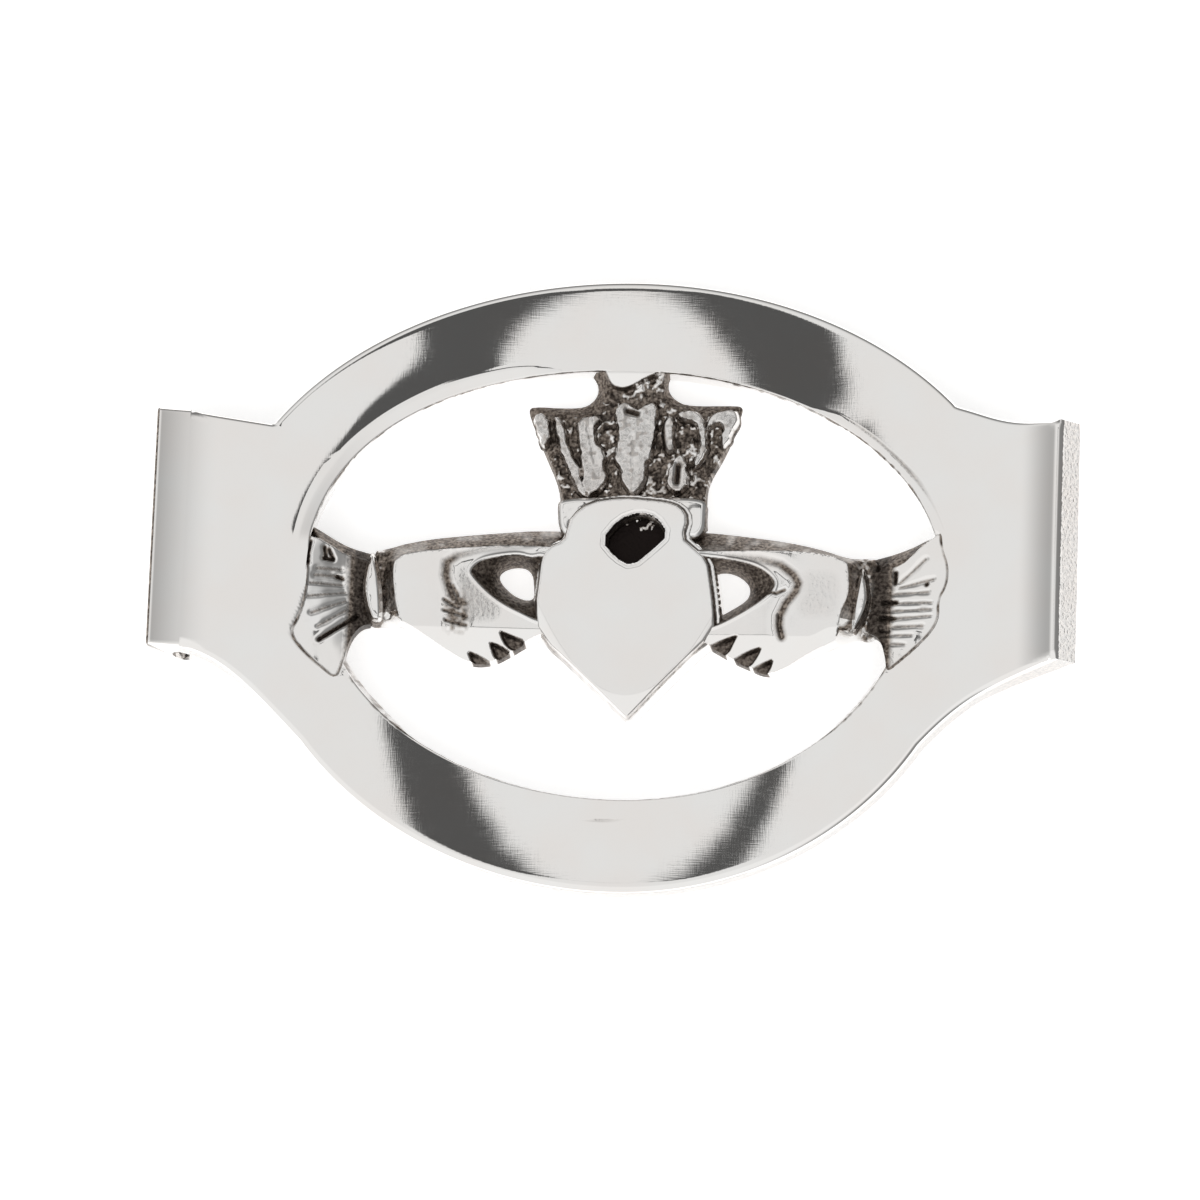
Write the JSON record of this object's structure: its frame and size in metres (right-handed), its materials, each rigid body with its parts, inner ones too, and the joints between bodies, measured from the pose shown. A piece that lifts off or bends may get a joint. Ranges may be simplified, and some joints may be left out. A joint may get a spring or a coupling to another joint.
{
  "type": "money clip",
  "caption": "Folded silver money clip with a pierced oval front, a crown, heart and clasping hands motif, square tabs, a flared lip and an open spring leaf behind.",
  "frame": {"origin": "under the middle of the clip, on the surface that it lies on", "axes": "+X along the clip from the fold to the open mouth, +Y up the front as it is worn, +Z out of the front"},
  "size_m": [0.0546, 0.0368, 0.0066],
  "materials": {
    "polished_silver": "polished silver with fine scratches",
    "cast_silver": "cast and tumbled silver, darkened in its recesses",
    "satin_silver": "rolled silver with drawn grain",
    "oxidised_silver": "blackened, granular"
  },
  "bodies": {
    "front": {"front_frame": "polished_silver", "spring_fold": "polished_silver", "backing_plate": "oxidised_silver", "crown_fleurs": "cast_silver", "crown_band": "polished_silver", "heart": "polished_silver", "left_hand": "cast_silver", "right_hand": "cast_silver", "left_wrist_band": "cast_silver", "right_wrist_band": "cast_silver", "left_cuff": "cast_silver", "right_cuff": "cast_silver"},
    "rear": {"rear_leaf": "satin_silver"}
  },
  "joints": [
    {"name": "leaf_flex", "type": "hinge", "parent": "front", "child": "rear", "pos_m": [-0.0252, 0, 0], "axis": [0, 1, 0], "range_deg": [0, 6], "stiffness_Nm_per_rad": 1.5, "springref_deg": -1.15}
  ]
}
